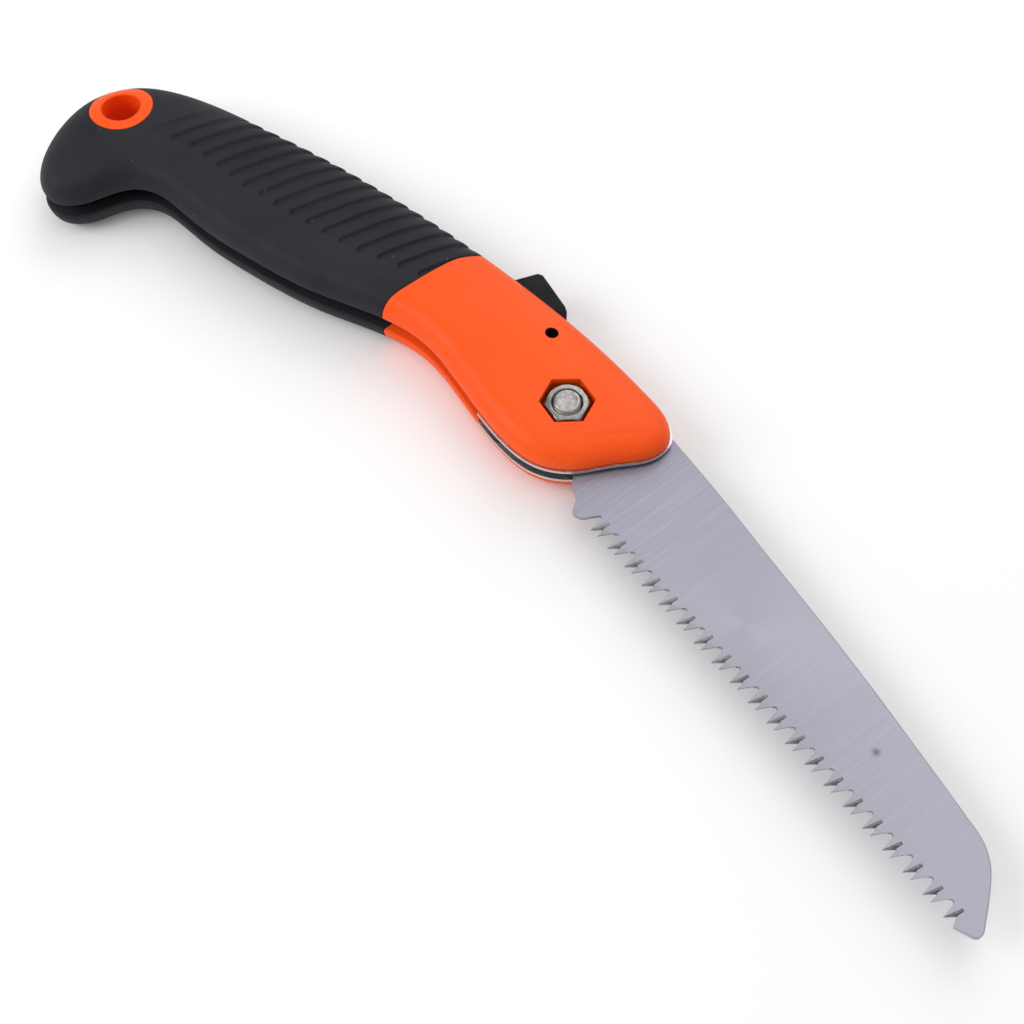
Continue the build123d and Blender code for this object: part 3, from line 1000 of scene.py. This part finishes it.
def orange_plastic():
    """Satin moulded plastic with a fine grain; painted shade makes the wall of the hole over the lock pin
    near black.
    """
    s = Shader("orange_plastic", (0.95, 0.10, 0.005), 0.46)
    drift = s.range(s.noise(38, 3), 0.3, 0.7, 0, 1)
    base = s.mix(drift, (0.93, 0.086, 0.002), (0.97, 0.103, 0.004))
    speck = s.range(s.noise(1900, 2, 0.6), 0.38, 0.62, 0, 0.45)
    grained = s.mix(speck, base, (0.84, 0.062, 0.001))
    # Painted shade: near black inside the lock pin's hole, standing in for the shade deep in the bore.
    painted_hole_shade = s.range(s.away_from(tuple(LOCK_AXIS[:2])), 0.00192, 0.00206, 1, 0)
    s.color(s.mix(painted_hole_shade, grained, (0.010, 0.008, 0.007)))
    s.rough(s.range(s.noise(90, 4), 0.3, 0.7, 0.42, 0.54))
    s.bump(s.noise(1000, 3, 0.65), 0.55, 0.00016)
    s.bump(s.noise(300, 2), 0.15, 0.0002)
    s.bsdf.inputs["Subsurface Weight"].default_value = 0.05
    s.bsdf.inputs["Subsurface Radius"].default_value = (0.004, 0.0012, 0.0004)
    s.bsdf.inputs["Specular IOR Level"].default_value = 0.25
    return s.material


def black_rubber():
    """Matt soft-touch rubber with a little lint on it."""
    s = Shader("black_rubber", (0.012, 0.012, 0.016), 0.62)
    dust = s.range(s.noise(620, 2, 0.6), 0.72, 0.78, 0, 0.4)
    cloud = s.range(s.noise(45, 4), 0.35, 0.7, 0, 1)
    base = s.mix(cloud, (0.0080, 0.0080, 0.0125), (0.0130, 0.0130, 0.0190))
    s.color(s.mix(dust, base, (0.16, 0.16, 0.17)))
    s.rough(s.range(s.noise(70, 4), 0.3, 0.7, 0.56, 0.70))
    s.bump(s.noise(1100, 3, 0.6), 0.4, 0.00015)
    s.bsdf.inputs["Specular IOR Level"].default_value = 0.30
    return s.material


def black_plastic(name, level):
    s = Shader(name, (level, level, level * 1.05), 0.45)
    drift = s.range(s.noise(60, 3), 0.3, 0.7, 0, 1)
    s.color(s.mix(drift, (level, level, level * 1.05), (level * 1.6, level * 1.55, level * 1.6)))
    s.rough(s.range(s.noise(150, 3), 0.3, 0.7, 0.38, 0.55))
    s.bump(s.noise(1300, 2, 0.6), 0.3, 0.0001)
    s.bsdf.inputs["Specular IOR Level"].default_value = 0.12
    return s.material


def blade_steel():
    """Flat-ground steel with grinding lines across the blade, a hardness test mark and painted light that
    lightens it along the row's X.
    """
    s = Shader("blade_steel", (0.30, 0.29, 0.36), 0.42, 0.85)
    across = -(TOOTH_LINE + math.pi / 2)
    lines = s.noise(1.0, 3, 0.6, s.mapped((34, 2100, 34), across))
    broad = s.noise(1.0, 2, 0.5, s.mapped((16, 640, 16), across))
    cloud = s.noise(16, 3)
    tone = s.mix(s.range(lines, 0.33, 0.67, 0, 1), (0.225, 0.220, 0.275), (0.375, 0.370, 0.440))
    tone = s.mix(s.range(broad, 0.38, 0.62, 0.0, 0.55), tone, (0.27, 0.265, 0.325))
    tone = s.mix(s.range(cloud, 0.35, 0.7, 0, 0.35), tone, (0.37, 0.37, 0.42))
    # Painted light: the steel's colour is lightened along the row's X.
    tone = s.mix(s.range(s.along(), 0.02, 0.17, 0, 0.55), tone, (0.50, 0.50, 0.575))
    s.color(s.mix(s.range(s.away_from(TEST_MARK), 0, 0.0016, 0.8, 0), tone, (0.07, 0.07, 0.09)))
    s.rough(s.range(lines, 0.3, 0.7, 0.36, 0.52))
    s.bump(lines, 0.25, 0.00005)
    s.bsdf.inputs["Anisotropic"].default_value = 0.4
    return s.material


def steel(name, low, high, roughness, scale=900):
    """Grainy steel with darker stains."""
    s = Shader(name, low, roughness, 1.0)
    grain = s.noise(scale, 3, 0.6)
    stain = s.noise(scale / 6, 4)
    tone = s.mix(s.range(grain, 0.3, 0.7, 0, 1), low, high)
    dark = tuple(c * 0.55 for c in low)
    s.color(s.mix(s.range(stain, 0.55, 0.75, 0, 0.6), tone, dark))
    s.rough(s.range(stain, 0.3, 0.7, roughness - 0.08, roughness + 0.12))
    s.bump(grain, 0.2, 0.00006)
    return s.material


def plain_metal(name, low, high, roughness):
    """Clean metal drawn or turned along the saw."""
    s = Shader(name, low, roughness, 1.0)
    grain = s.noise(1.0, 3, 0.6, s.mapped((80, 1400, 1400)))
    s.color(s.mix(s.range(grain, 0.3, 0.7, 0, 1), low, high))
    s.rough(s.range(grain, 0.3, 0.7, roughness - 0.06, roughness + 0.08))
    s.bump(grain, 0.12, 0.00005)
    return s.material


def nylon():
    s = Shader("natural_nylon", (0.78, 0.76, 0.69), 0.5)
    s.color(s.mix(s.range(s.noise(200, 3), 0.3, 0.7, 0, 1), (0.76, 0.74, 0.67), (0.82, 0.80, 0.74)))
    s.bump(s.noise(1500, 2), 0.2, 0.00005)
    return s.material


def dress(node, material):
    """Gives a CAD node that keeps its shape its own material."""
    piece = frame["nodes"][node]
    if piece.data.materials:
        for index in range(len(piece.data.materials)):
            piece.data.materials[index] = material
    else:
        piece.data.materials.append(material)


# ---------------------------------------------------------------- stage

def make_camera():
    """Seen from above the belly side, looking down across the saw."""
    camera = bpy.data.cameras.new("camera")
    camera.lens = 61.875
    camera.sensor_width = 36
    camera.clip_start = 0.01
    rig = bpy.data.objects.new("camera", camera)
    bpy.context.scene.collection.objects.link(rig)
    rig.location = to_row((106.9, -238.9, 428.0))
    tilt = math.radians(61.646)
    heading = math.radians(27.5)
    ahead = Vector((-math.sin(heading) * math.cos(tilt), math.cos(heading) * math.cos(tilt), -math.sin(tilt)))
    right = Vector((math.cos(heading), math.sin(heading), 0))
    up = right.cross(ahead)
    turn = Matrix((right, up, -ahead)).transposed()
    rig.rotation_euler = turn.to_euler()
    bpy.context.scene.camera = rig


def area_light(name, place, target, size, power):
    light = bpy.data.lights.new(name, "AREA")
    light.shape = "DISK"
    light.size = size
    light.energy = power
    lamp = bpy.data.objects.new(name, light)
    bpy.context.scene.collection.objects.link(lamp)
    lamp.location = Vector(place)
    way = Vector(target) - Vector(place)
    lamp.rotation_euler = way.to_track_quat("-Z", "Y").to_euler()


def make_stage():
    """A pale floor just under the saw, an even white world and three soft lamps."""
    reach = 3.0
    ground = CAD_BOX[0][2] - 0.0002
    corners = [(-reach, -reach, ground), (reach, -reach, ground)]
    corners += [(reach, reach, ground), (-reach, reach, ground)]
    mesh = bpy.data.meshes.new("floor")
    mesh.from_pydata(corners, [], [(0, 1, 2, 3)])
    floor = bpy.data.objects.new("floor", mesh)
    bpy.context.scene.collection.objects.link(floor)
    s = Shader("floor_white", (0.95, 0.95, 0.95), 0.9)
    s.color(s.mix(s.range(s.noise(3, 2), 0.3, 0.7, 0, 1), (0.945, 0.945, 0.945), (0.955, 0.955, 0.955)))
    mesh.materials.append(s.material)
    world = bpy.data.worlds.new("studio")
    world.use_nodes = True
    world.node_tree.nodes["Background"].inputs["Color"].default_value = (1, 1, 1, 1)
    world.node_tree.nodes["Background"].inputs["Strength"].default_value = 0.66
    bpy.context.scene.world = world
    centre = (0, 0, 0)
    area_light("key", (-0.75, -0.55, 0.75), centre, 0.7, 5.0)
    area_light("back", (-0.1, 0.8, 0.7), centre, 0.9, 2.6)
    area_light("top", (0.2, 0.1, 1.2), centre, 1.1, 1.8)


# ---------------------------------------------------------------- build

bpy.context.scene.view_settings.view_transform = "Standard"
make_camera()
make_stage()

ORANGE = orange_plastic()
RUBBER = black_rubber()
NUT_STEEL = steel("zinc_steel", (0.20, 0.20, 0.20), (0.34, 0.34, 0.335), 0.26)
BOLT_STEEL = steel("bolt_steel", (0.26, 0.255, 0.25), (0.50, 0.49, 0.48), 0.34)

make_shells(ORANGE)
make_grips(RUBBER)
make_eyelet(ORANGE)
# Darker steel on the tooth facets and on the edge walls along the teeth and gullets: partly the facets'
# ground finish, partly painted shade.
make_blade(blade_steel(), steel("ground_bevel_painted_shade", (0.24, 0.24, 0.235), (0.38, 0.38, 0.37), 0.45, 1600))
make_nut(NUT_STEEL)
make_bolt(BOLT_STEEL)
make_button(black_plastic("button_plastic", 0.006))
make_spring(plain_metal("spring_wire", (0.45, 0.45, 0.47), (0.62, 0.62, 0.64), 0.25))

CORE = black_plastic("core_plastic", 0.004)
LINER = plain_metal("liner_steel", (0.55, 0.55, 0.56), (0.72, 0.72, 0.73), 0.3)
LOCK = steel("lock_steel", (0.10, 0.10, 0.105), (0.16, 0.16, 0.17), 0.4)
NYLON = nylon()
FINISHES = {
    "left_core": CORE, "right_core": CORE, "back_spacer": CORE,
    "left_liner": LINER, "right_liner": LINER,
    "pivot_bush": plain_metal("turned_brass", (0.65, 0.45, 0.18), (0.80, 0.60, 0.28), 0.28),
    "left_washer": NYLON, "right_washer": NYLON,
    "lock_lever": LOCK, "lock_pin": LOCK, "open_stop_pin": LOCK, "closed_stop_pin": LOCK,
    "handle_screws": NUT_STEEL,
}
for node_name, finish in FINISHES.items():
    dress(node_name, finish)
